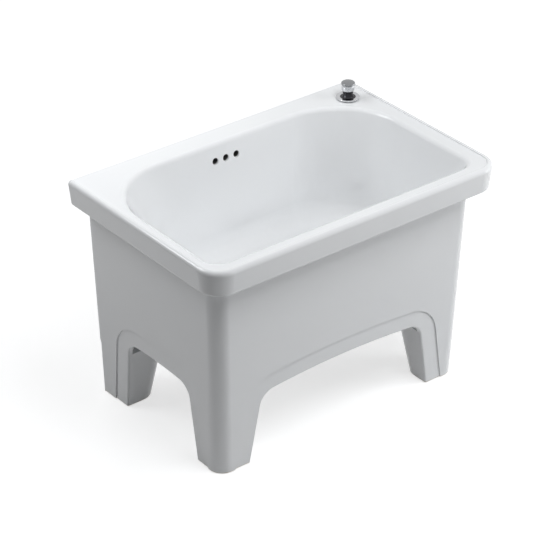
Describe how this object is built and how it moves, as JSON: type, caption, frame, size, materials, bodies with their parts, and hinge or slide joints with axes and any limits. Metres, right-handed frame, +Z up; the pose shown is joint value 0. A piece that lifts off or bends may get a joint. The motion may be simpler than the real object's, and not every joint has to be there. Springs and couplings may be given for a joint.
{
  "type": "mop sink",
  "caption": "Floor-standing glazed china mop sink with a deep basin, tapered apron and arched legs, and a lift knob on the deck that works a pop-up waste.",
  "frame": {"origin": "on the floor, under the middle of the rim's outline", "axes": "+X to the right along the rim's longer side, +Y to the wall behind, +Z up"},
  "size_m": [0.5982, 0.3982, 0.4479],
  "materials": {
    "china": "gloss",
    "chrome": "polished",
    "brass": "satin",
    "steel": "satin",
    "rubber": "matte",
    "white_plastic": "satin",
    "grey_plastic": "satin"
  },
  "bodies": {
    "sink": {"sink_body": "china", "escutcheon": "chrome", "drain_flange": "chrome", "tailpiece": "chrome", "guide_sleeve": "brass", "sleeve_nut": "brass", "lock_nut": "brass", "sleeve_washer": "steel", "escutcheon_gasket": "rubber", "flange_gasket": "rubber", "under_gasket": "rubber", "slip_seal": "rubber", "pivot_inner_seal": "white_plastic", "pivot_outer_seal": "white_plastic", "guide_bush": "white_plastic", "friction_washer": "white_plastic", "pop_up_tee": "grey_plastic", "pivot_nut": "grey_plastic", "slip_nut": "grey_plastic"},
    "lift": {"lift_knob": "chrome", "lift_rod": "chrome", "lift_strap": "steel", "strap_screw": "brass"},
    "lever": {"pivot_rod": "chrome", "pivot_ball": "white_plastic", "spring_clip": "steel"},
    "stopper": {"stopper_cap": "chrome", "stopper_seal": "rubber", "stopper_stem": "white_plastic"}
  },
  "joints": [
    {"name": "lift_slide", "type": "slide", "parent": "sink", "child": "lift", "axis": [0, 0, 1], "range_m": [0, 0.028]},
    {"name": "lever_pivot", "type": "hinge", "parent": "sink", "child": "lever", "pos_m": [0.10323, 0.06244, 0.133], "axis": [0.4852, -0.8744, 0], "range_deg": [0, 11.3]},
    {"name": "stopper_slide", "type": "slide", "parent": "sink", "child": "stopper", "axis": [0, 0, 1], "range_m": [-0.0076, 0]}
  ],
  "couplings": [
    {"joint": "lever_pivot", "follows": "lift_slide", "rad_per_m": 6.5738},
    {"joint": "stopper_slide", "follows": "lift_slide", "ratio": -0.25267}
  ]
}
